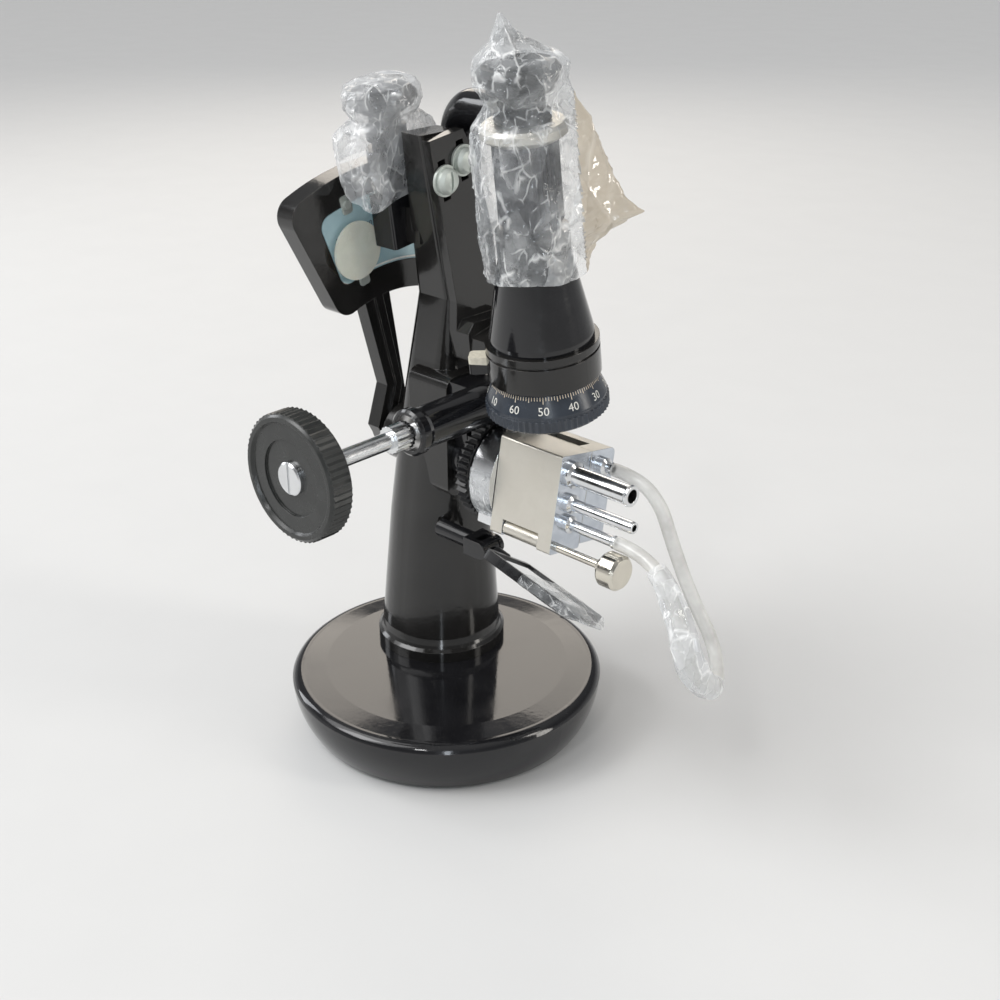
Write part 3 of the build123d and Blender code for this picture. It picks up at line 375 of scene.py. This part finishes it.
lens_glass = clear_glass("lens_glass", (0.93, 0.97, 0.98))
prism_glass = clear_glass("prism_glass", (0.90, 0.95, 0.93), 0.05)
opal = tinted("opal_cream", (0.80, 0.77, 0.66), (0.72, 0.69, 0.58), 0.18, 0.3, 7, 0.01, Subsurface_Weight=0.15)
pane = tinted("scale_pane", (0.50, 0.68, 0.72), (0.42, 0.60, 0.66), 0.10, 0.22, 9, 0.004, Transmission_Weight=0.35)
silver = tinted("silvered_glass", (0.85, 0.86, 0.87), (0.78, 0.80, 0.81), 0.02, 0.06, 12, 0.002, Metallic=1.0)
felt = tinted("felt_pad", (0.020, 0.035, 0.026), (0.035, 0.055, 0.042), 0.85, 0.95, 4, 0.25, Sheen_Weight=0.4)
numeral_paint = tinted("numeral_paint", (0.80, 0.79, 0.74), (0.66, 0.65, 0.60), 0.4, 0.55, 1.2, 0.01)
tick_paint = tinted("tick_paint", (0.78, 0.62, 0.45), (0.80, 0.74, 0.62), 0.4, 0.55, 2.0, 0.01)
mark_paint = tinted("mark_paint", (0.02, 0.03, 0.04), (0.04, 0.05, 0.06), 0.4, 0.5, 1.5, 0.005)
clear_film = film("clear_film", (0.70, 0.73, 0.75), (0.98, 0.98, 0.97), 0.10, 0.98, 9)
white_film = film("white_film", (0.78, 0.80, 0.82), (0.98, 0.98, 0.97), 0.22, 0.98, 8)
beige_film = film("folded_film", (0.70, 0.61, 0.48), (0.80, 0.73, 0.62), 0.72, 0.93, 26)


def hose_finish():
    """Clear soft tube: open in the middle, dense and milky where the wall is seen edge on."""
    f = Finish("soft_clear_pvc", (0.74, 0.73, 0.69), 0.1, Specular_IOR_Level=0.8)
    side = f.add("LayerWeight", Blend=0.5).outputs["Facing"]
    cloud = f.noise(16, 3)
    wall = f.spread(f.maths("POWER", side, 1.3), 0.0, 1.0, 0.42, 0.97)
    f.feed("Alpha", f.maths("ADD", wall, f.spread(cloud, 0.4, 0.7, -0.04, 0.08)))
    f.feed("Base Color", f.shade(cloud, (0.35, (0.62, 0.61, 0.58)), (0.65, (0.80, 0.80, 0.77))))
    f.feed("Roughness", f.spread(cloud, 0.3, 0.7, 0.05, 0.14))
    f.feed("Normal", f.bump(f.noise(9, 2), 0.12, 0.4))
    return f.material


def draw_finish():
    """Blackened grip that changes to bright plating at the shoulder, by height along the telescope."""
    f = Finish("draw_tube_plating", (0.5, 0.5, 0.5), 0.2, Metallic=1.0)
    axis = TELE.to_3x3() @ Vector((0, 0, 1))
    along = f.tree.nodes.new("ShaderNodeVectorMath")
    along.operation = "DOT_PRODUCT"
    f.tree.links.new(f.where, along.inputs[0])
    along.inputs[1].default_value = axis
    start = TELE.translation.dot(axis) + (GRIP_HIGH + 0.3) * MM
    bright = f.spread(along.outputs["Value"], start - 0.0002, start + 0.0002)
    cloud = f.noise(7, 4)
    dark = f.shade(cloud, (0.3, (0.035, 0.035, 0.04)), (0.7, (0.08, 0.08, 0.085)))
    f.feed("Base Color", f.blend(bright, dark, (0.66, 0.64, 0.58)))
    f.feed("Roughness", f.maths("ADD", f.spread(cloud, 0.3, 0.7, 0.12, 0.3), f.maths("MULTIPLY", bright, 0.2)))
    f.feed("Normal", f.bump(f.noise(0.5, 3, (0.05, 0.05, 1.0)), 0.01, 0.5))
    return f.material


def pointer_finish():
    """Cream top on the lug, black below it and a white tip, split by height and by distance from the tip."""
    low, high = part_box("index_pointer")
    f = Finish("pointer_paint", (0.7, 0.66, 0.54), 0.2)
    tip = place(60.5, AXLE_Y, AXLE_Z, (8, "X"), (216, "Z")) @ Vector((24.2 * MM, 0, 61.4 * MM))
    gap = f.vectors("DISTANCE", f.where, tip)
    up = f.add("SeparateXYZ", i0=f.where).outputs[2]
    cream_from = high.z - 0.42 * (high.z - low.z)
    cloud = f.noise(2, 3)
    cream = f.shade(cloud, (0.35, (0.74, 0.70, 0.58)), (0.8, (0.58, 0.54, 0.44)))
    body = f.blend(f.spread(up, cream_from, cream_from + 0.0003), (0.012, 0.012, 0.013), cream)
    f.feed("Base Color", f.blend(f.spread(gap, 0.0017, 0.0019, 1.0, 0.0), body, (0.80, 0.79, 0.75)))
    f.feed("Roughness", f.spread(cloud, 0.3, 0.7, 0.12, 0.3))
    return f.material


FINISHES = {
    black: ["base", "worm_housing", "telescope_body", "telescope_stay", "worm_wheel", "microscope_body",
            "mirror_stem", "mirror_knuckle"],
    casting: ["column", "telescope_bracket", "sector_frame", "microscope_bracket"],
    chrome_x: ["head_flange", "thermometer_socket", "open_nozzle", "lower_nozzle", "upper_nozzle",
               "microscope_objective"],
    chrome_y: ["drive_shaft", "knob_screw"],
    steel: ["cross_axle", "column_bolt", "worm_bushes"],
    draw_finish(): ["draw_tube"],
    nickel: ["measuring_prism_box", "illuminating_prism_box"],
    knob_nickel: ["clamp_rod", "clamp_knob"],
    zinc: ["bracket_screws", "scale_clips"],
    brass: ["upper_amici_cell"],
    bronze: ["axle_bushes"],
    knob_plastic: ["drive_knob"],
    drum_plastic: ["compensator_drum"],
    eyepiece_plastic: ["eyepiece", "microscope_eyepiece"],
    rubber: ["eyecup", "microscope_eyecup"],
    tray_plastic: ["mirror_tray"],
    lens_glass: ["telescope_objective", "reticle", "eye_lens", "microscope_eye_lens"],
    prism_glass: ["measuring_prism", "illuminating_prism", "lower_amici_prism", "upper_amici_prism"],
    opal: ["opal_disc"],
    pane: ["scale_glass"],
    silver: ["mirror_glass"],
    felt: ["base_pad"],
    pointer_finish(): ["index_pointer"],
    clear_film: ["telescope_bag", "microscope_bag", "mirror_bag"],
    hose_finish(): ["jacket_hose"],
}


def dress(piece, material):
    piece.data.materials.clear()
    piece.data.materials.append(material)


for material, names in FINISHES.items():
    for name in names:
        dress(nodes[name], material)
dress(hose, nodes["jacket_hose"].data.materials[0])


# ---- mesh helpers ----
def piece(name, verts, faces, material, body, slot, smooth=True):
    """New mesh piece from points in metres, riding on a body, or on none."""
    mesh = bpy.data.meshes.new(name)
    mesh.from_pydata([tuple(v) for v in verts], [], faces)
    mesh.update()
    if smooth:
        mesh.shade_smooth()
    made = bpy.data.objects.new(name, mesh)
    bpy.context.scene.collection.objects.link(made)
    dress(made, material)
    if body:
        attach(made, body)
    return made


def grid_faces(rows, columns):
    """Quads of a tube whose rings are closed."""
    return [
        (r * columns + c, r * columns + (c + 1) % columns, (r + 1) * columns + (c + 1) % columns, (r + 1) * columns + c)
        for r in range(rows - 1) for c in range(columns)
    ]


def text_shapes(words, height, to_world):
    """Vertices and faces of words, each vertex sent through to_world(word index, x, y) in mm."""
    verts, faces = [], []
    for i, word in enumerate(words):
        curve = bpy.data.curves.new("word", "FONT")
        curve.body = word
        curve.size = height
        curve.align_x = "CENTER"
        curve.align_y = "CENTER"
        curve.resolution_u = 3
        source = bpy.data.objects.new("word", curve)
        mesh = bpy.data.meshes.new_from_object(source)
        start = len(verts)
        verts += [to_world(i, v.co.x, v.co.y) for v in mesh.vertices]
        faces += [[start + n for n in p.vertices] for p in mesh.polygons]
        bpy.data.objects.remove(source)
        bpy.data.meshes.remove(mesh)
        bpy.data.curves.remove(curve)
    return verts, faces


# ---- drum numerals and ticks, laid on the bevel ----
BEVEL_LOW_R, BEVEL_HIGH_R, BEVEL_LOW = DRUM_R - 0.8, RING_R - 2.0, DRUM_LOW + 8.0
BEVEL_LEAN = math.atan2(BEVEL_LOW_R - BEVEL_HIGH_R, DRUM_HIGH - BEVEL_LOW)
NUMERALS = ["60", "50", "40", "30", "20", "10"] * 2
FIRST_NUMERAL = -81.0


def on_bevel(degrees, across, up, lift=0.07):
    """Point on the drum's bevel: angle, mm along the rim and mm up the slope."""
    r = BEVEL_LOW_R - up * math.sin(BEVEL_LEAN) + lift * math.cos(BEVEL_LEAN)
    a = math.radians(degrees) + across / r
    z = BEVEL_LOW + up * math.cos(BEVEL_LEAN) + lift * math.sin(BEVEL_LEAN)
    return TELE @ Vector((r * math.cos(a) * MM, r * math.sin(a) * MM, z * MM))


verts, faces = text_shapes(NUMERALS, 5.2, lambda i, x, y: on_bevel(FIRST_NUMERAL + 30 * i, x, 2.9 + y))
piece("drum_numerals", verts, faces, numeral_paint, "drum", "white", smooth=False)
verts, faces = [], []
for i in range(120):
    length = 3.0 if i % 10 == 0 else 2.3 if i % 5 == 0 else 1.6
    start = len(verts)
    for across, up in ((-0.16, 9.3), (0.16, 9.3), (0.16, 9.3 - length), (-0.16, 9.3 - length)):
        verts.append(on_bevel(FIRST_NUMERAL + 3 * i, across, up))
    faces.append((start, start + 3, start + 2, start + 1))
piece("drum_ticks", verts, faces, tick_paint, "drum", "white", smooth=False)


# ---- scale on the glass ----
def on_scale(degrees, radius, across=0.0, up=0.0, lift=0.06):
    """Point on the camera side of the scale glass, angle from straight up and positive to the user."""
    a = math.radians(degrees) - across / radius
    r = radius + up
    y, z = AXLE_Y - r * math.sin(a), AXLE_Z + r * math.cos(a)
    return Vector(((SECTOR_FACE_X + lift) * MM, y * MM, z * MM))


verts, faces = [], []
for i in range(81):
    angle = -18 + i * 0.45
    length = 6.0 if i % 10 == 0 else 4.4 if i % 5 == 0 else 3.0
    start = len(verts)
    for across, up in ((-0.09, 0), (0.09, 0), (0.09, length), (-0.09, length)):
        verts.append(on_scale(angle, 101.0, across, up))
    faces.append((start, start + 1, start + 2, start + 3))
piece("scale_marks", verts, faces, mark_paint, "turning_head", "scale_glass", smooth=False)
verts, faces = [], []
for i in range(61):
    verts += [on_scale(-18 + i * 0.6, 88.9, 0, up) for up in (0, 0.9)]
    if i:
        faces.append((2 * i - 2, 2 * i, 2 * i + 1, 2 * i - 1))
piece("scale_edge", verts, faces, numeral_paint, "turning_head", "scale_glass", smooth=False)
VALUES = ["1.30", "1.35", "1.40", "1.45", "1.50", "1.55", "1.60", "1.65", "1.70"]
verts, faces = text_shapes(VALUES, 3.6, lambda i, x, y: on_scale(-18 + 4.5 * i, 111.0, x, y))
piece("scale_numerals", verts, faces, mark_paint, "turning_head", "scale_glass", smooth=False)


# ---- crumpled film bags ----
def crumple(point, amount, seed, scale):
    """Signed crumple of a film, in mm: broad flat panes tilted against each other, with finer wrinkles on them."""
    p = Vector(point) / scale + Vector((seed, seed * 0.7, -seed))
    total = 0.0
    for step, share in ((1.0, 1.0), (2.1, 0.45), (4.3, 0.2)):
        distances, centres = noise.voronoi(p * step)
        tilt = noise.cell_vector(centres[0] * 7.3) - Vector((0.5, 0.5, 0.5))
        total += share * (1.6 * tilt.dot(p * step - centres[0]) + 0.5 * tilt.x)
    return amount * (total + 0.5 * noise.noise(p * 0.6))


def smooth_between(stations, height):
    """Values at a height, eased between the stations on either side."""
    for low, high in zip(stations, stations[1:]):
        if height <= high[0]:
            t = (height - low[0]) / (high[0] - low[0])
            t = t * t * (3 - 2 * t) * 0.6 + t * 0.4
            return [a + (b - a) * t for a, b in zip(low[1:], high[1:])]
    return list(stations[-1][1:])


def film_bag(name, at, stations, around, rows, form, material, body, cad_node, amount, seed, scale):
    """Thin shell lofted up a local Z axis; form gives a ring's point from an angle and a station's values."""
    low, high = stations[0][0], stations[-1][0]
    verts = []
    for r in range(rows):
        height = low + (high - low) * r / (rows - 1)
        values = smooth_between(stations, height)
        for c in range(around):
            t = 2 * math.pi * c / around
            x, y, z = form(t, height, values)
            out = Vector((math.cos(t), math.sin(t), 0))
            fade = min(1.0, (rows - 1 - r) / 4)
            point = Vector((x, y, z)) + out * crumple((x, y, z), amount, seed, scale) * fade
            point.z += 0.5 * amount * noise.noise(Vector((x, y, z)) / scale + Vector((9, seed, 2)))
            verts.append(at @ (point * MM))
    made = piece(name, verts, grid_faces(rows, around) + [tuple(range((rows - 1) * around, rows * around))],
                 material, body, "film")
    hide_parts(cad_node)
    return made


def tele_form(t, height, values):
    """Ring with a thin pointed lobe on one side."""
    a, b, lobe, shift, drop = values
    open_side = max(0.0, math.cos(t)) ** 5
    pleat = 0.9 * abs(math.sin(4.5 * t + 0.9 * math.sin(height * 0.06) + 0.4)) ** 0.6 * min(1.0, max(0.0, (190 - height) / 20))
    x = shift + (a + pleat) * math.cos(t) + lobe * open_side
    y = (b + pleat) * math.sin(t) * (1 - 0.35 * open_side * min(1.0, lobe / 12))
    return x, y, height - drop * open_side + 0.9 * math.sin(3 * t + 0.6) * max(0.0, 1 - (height - 109.5) / 12)


TELE_STATIONS = [
    (109.5, 21.4, 21.0, 0, 0, 0), (114, 21.8, 21.2, 1, 0, 0), (119, 22.2, 21.4, 3, 0, 0), (124, 22.4, 21.6, 9, 0, 0),
    (128, 22.4, 21.6, 17, 0, 0), (131, 22.4, 21.6, 24, 0, 0), (134, 22.4, 21.4, 21, 0, 1), (140, 22.2, 21.2, 16, 0, 1),
    (150, 22.0, 21.0, 12, 0, 1), (160, 21.8, 21.0, 9, 0, 0), (168, 21.4, 20.8, 7, 0, 0), (173, 20.0, 19.6, 7, 0, 0),
    (177, 17.4, 17.0, 7, 0, 0), (182, 14.6, 14.0, 7, 0, 0), (186, 16.6, 16.4, 4, 0, 0), (189.5, 18.9, 18.7, 1, 0, 0),
    (196, 19.0, 18.8, 2, 0, 0), (199, 17.6, 17.4, 1, -0.5, 0), (202.5, 12.5, 12.3, 0, -2, 0), (207, 7.0, 6.6, 0, -3.5, 0),
    (212, 3.6, 3.2, 0, -4.5, 0), (217, 0.9, 0.8, 0, -5.5, 0),
]
tele_bag = film_bag(
    "telescope_dust_bag", TELE @ Matrix.Rotation(math.radians(43), 4, "Z"), TELE_STATIONS, 170, 170, tele_form,
    clear_film, "telescope_eye", "telescope_bag", 0.95, 4.2, 9.0,
)
tele_bag.data.materials.append(beige_film)
axis_point, across = TELE.translation, TELE.to_3x3() @ Matrix.Rotation(math.radians(43), 3, "Z") @ Vector((1, 0, 0))
for face in tele_bag.data.polygons:
    if (face.center - axis_point).dot(across) > 21.5 * MM:
        face.material_index = 1


def micro_form(t, height, values):
    """Boxy ring squeezed between the scale sector and the arm, hanging lower where it faces the user's right."""
    a, b, power, hang, back = values
    x = a * math.copysign(abs(math.cos(t)) ** power, math.cos(t))
    y = b * math.copysign(abs(math.sin(t)) ** power, math.sin(t))
    free = max(0.0, math.cos(t + 0.75))
    if x < 0:
        x *= 1 - back * max(0.0, -math.cos(t))
    return x, y, height - hang * free ** 0.6


MICRO_STATIONS = [
    (31.0, 11.2, 24.5, 0.42, 21, -0.2), (34, 11.6, 25.0, 0.42, 18, -0.3), (38, 12.0, 25.0, 0.45, 13, -0.45),
    (42, 12.8, 24.0, 0.55, 6, -0.55), (46, 13.0, 20.0, 0.8, 1.5, -0.3), (49, 14.0, 15.8, 1.0, 0, 0),
    (52, 16.8, 17.2, 1.0, 0, 0), (55, 17.8, 18.4, 1.0, 0, 0), (60, 17.8, 18.4, 1.0, 0, 0), (63, 16.4, 17.0, 1.0, 0, 0),
    (65.2, 11, 12, 1.0, 0, 0), (66, 4, 4, 1.0, 0, 0),
]
film_bag("microscope_dust_bag", MICRO, MICRO_STATIONS, 150, 120, micro_form, white_film, "microscope_eye",
         "microscope_bag", 0.7, 8.8, 8.0)


def mirror_bag_form(t, height, values):
    """Flattened ring about the tray, drawn to a thin tail past its end."""
    half_w, half_t, shift = values
    power = 0.35
    x = half_t * math.copysign(abs(math.cos(t)) ** power, math.cos(t))
    y = shift + half_w * math.copysign(abs(math.sin(t)) ** (power + 0.2), math.sin(t))
    return x, y, height


FLAT = TRAY_T / 2 + 0.9
MIRROR_STATIONS = [
    (36, TRAY_W / 2 + 0.9, FLAT, 0), (44, TRAY_W / 2 + 0.8, FLAT, 0), (55, TRAY_W / 2 + 0.7, FLAT, 0),
    (62.5, TRAY_W / 2 + 0.2, FLAT, 0), (65, 20, 2.0, -1), (68, 16.5, 1.1, -3), (71, 13, 0.8, -5), (73.5, 9.5, 0.5, -7),
]
film_bag("mirror_dust_bag", TILT @ Matrix.Rotation(math.radians(90), 4, "Y"), MIRROR_STATIONS, 120, 70,
         mirror_bag_form, clear_film, "mirror", "mirror_bag", 0.35, 2.4, 6.0)

# ---- flat sleeve of film on the hose's rising run ----
SLEEVE = [(0.0, 3.5), (0.12, 5.6), (0.4, 7.0), (0.75, 6.0), (1.0, 4.6)]
SLEEVE_THIN, ACROSS_RUN = 3.5, Vector((-0.64, 0.62, -0.45))


def hose_sleeve():
    """Flattened film tube about the hose, wide where it faces the user's right, open at both ends."""
    run = [Vector(p) for p in hose_path if p[1] < 0.012 and p[0] > 0.131]
    run = run[min(range(len(run)), key=lambda i: run[i].z):]
    verts, columns = [], 40
    for r, centre in enumerate(run):
        along = (run[min(r + 1, len(run) - 1)] - run[max(r - 1, 0)]).normalized()
        wide = along.cross(ACROSS_RUN).normalized()
        thin = along.cross(wide)
        half = smooth_between(SLEEVE, r / (len(run) - 1))[0]
        for c in range(columns):
            t = 2 * math.pi * c / columns
            ripple = 1 + 0.05 * noise.noise(centre * 160 + Vector((math.cos(t), math.sin(t), 3)))
            offset = wide * half * math.cos(t) * ripple + thin * SLEEVE_THIN * math.sin(t) * (1 + 0.1 * math.cos(t) ** 2)
            verts.append(centre + offset * MM)
    return piece("hose_sleeve", verts, grid_faces(len(run), columns), white_film, None, "film")


sleeve = hose_sleeve()

# ---- film left round the prism head's flange ----
def flange_film():
    """Open band of film about the flange, with one square corner hanging from its front."""
    verts, rows, columns = [], 14, 90
    for r in range(rows):
        share = r / (rows - 1)
        for c in range(columns):
            angle = -200 + 290 * c / (columns - 1)
            a = math.radians(angle)
            corner = max(0.0, 1 - abs(angle + 50) / 26) * 7 * share
            radius = FLANGE_R + 0.5 + corner + 0.35 * noise.noise(Vector((angle * 0.09, share * 3, 2)))
            x = FLANGE_X + 0.8 + 12.2 * share + 0.3 * noise.noise(Vector((angle * 0.05, 7, share)))
            verts.append(Vector((x, AXLE_Y + radius * math.cos(a), AXLE_Z + radius * math.sin(a))) * MM)
    faces = [(r * columns + c, r * columns + c + 1, (r + 1) * columns + c + 1, (r + 1) * columns + c)
             for r in range(rows - 1) for c in range(columns - 1)]
    piece("flange_film", verts, faces, clear_film, "turning_head", "film")


flange_film()

# ---- floor and light ----
floor_mesh = bpy.data.meshes.new("floor")
floor_mesh.from_pydata([(-9, -9, 0), (9, -9, 0), (9, 9, 0), (-9, 9, 0)], [], [(0, 1, 2, 3)])
floor = bpy.data.objects.new("floor", floor_mesh)
bpy.context.scene.collection.objects.link(floor)
floor.location.z = -0.0002
dress(floor, tinted("floor_paper", (0.67, 0.67, 0.665), (0.66, 0.66, 0.655), 0.7, 0.8, 60, 0.02))


def softbox(name, at, target, width, height, power, color=(1, 1, 1)):
    lamp = bpy.data.lights.new(name, "AREA")
    lamp.shape = "RECTANGLE"
    lamp.size, lamp.size_y = width, height
    lamp.energy = power
    lamp.color = color
    made = bpy.data.objects.new(name, lamp)
    bpy.context.scene.collection.objects.link(made)
    made.location = at
    made.rotation_euler = (Vector(target) - Vector(at)).to_track_quat("-Z", "Y").to_euler()


sun = bpy.data.objects.new("sky", bpy.data.lights.new("sky", "SUN"))
sun.data.energy = 1.4
sun.data.angle = math.radians(50)
sun.rotation_euler = (math.radians(28), math.radians(-24), 0)
bpy.context.scene.collection.objects.link(sun)
softbox("key", (-0.9, -1.5, 1.7), (0, 0, 0.12), 0.9, 1.1, 15)
softbox("glint", (0.55, -1.3, 1.5), (0, 0, 0.2), 0.16, 0.16, 3)
softbox("side", (1.5, 0.7, 0.9), (0, 0, 0.18), 0.28, 1.3, 9, (1.0, 0.96, 0.90))
softbox("strip", (1.15, -1.15, 0.75), (0, 0, 0.15), 0.10, 1.2, 4, (0.86, 0.93, 1.0))
softbox("window", (-1.5, -0.4, 0.7), (0, 0, 0.2), 0.35, 0.9, 5, (0.95, 0.97, 1.0))
softbox("back", (-1.15, 1.12, 1.05), (0, 0, 0.05), 1.0, 0.7, 6, (1.0, 0.92, 0.82))

world = bpy.data.worlds.new("studio")
world.use_nodes = True
room = world.node_tree
height = room.nodes.new("ShaderNodeSeparateXYZ")
shades = room.nodes.new("ShaderNodeValToRGB")
ROOM = [(0.0, (0.98, 0.99, 1.0)), (0.12, (0.96, 0.97, 0.98)), (0.38, (0.30, 0.30, 0.31)), (0.62, (0.42, 0.43, 0.45)),
        (0.9, (1.0, 1.0, 1.0))]
while len(shades.color_ramp.elements) < len(ROOM):
    shades.color_ramp.elements.new(0.5)
for element, (at, color) in zip(shades.color_ramp.elements, ROOM):
    element.position = at
    element.color = (*color, 1)
room.links.new(room.nodes.new("ShaderNodeTexCoord").outputs["Generated"], height.inputs[0])
room.links.new(height.outputs[2], shades.inputs[0])
room.links.new(shades.outputs[0], room.nodes["Background"].inputs["Color"])
room.nodes["Background"].inputs["Strength"].default_value = 0.55
bpy.context.scene.world = world
bpy.context.scene.view_settings.view_transform = "Standard"

for soft in (hose, sleeve):
    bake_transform(soft)
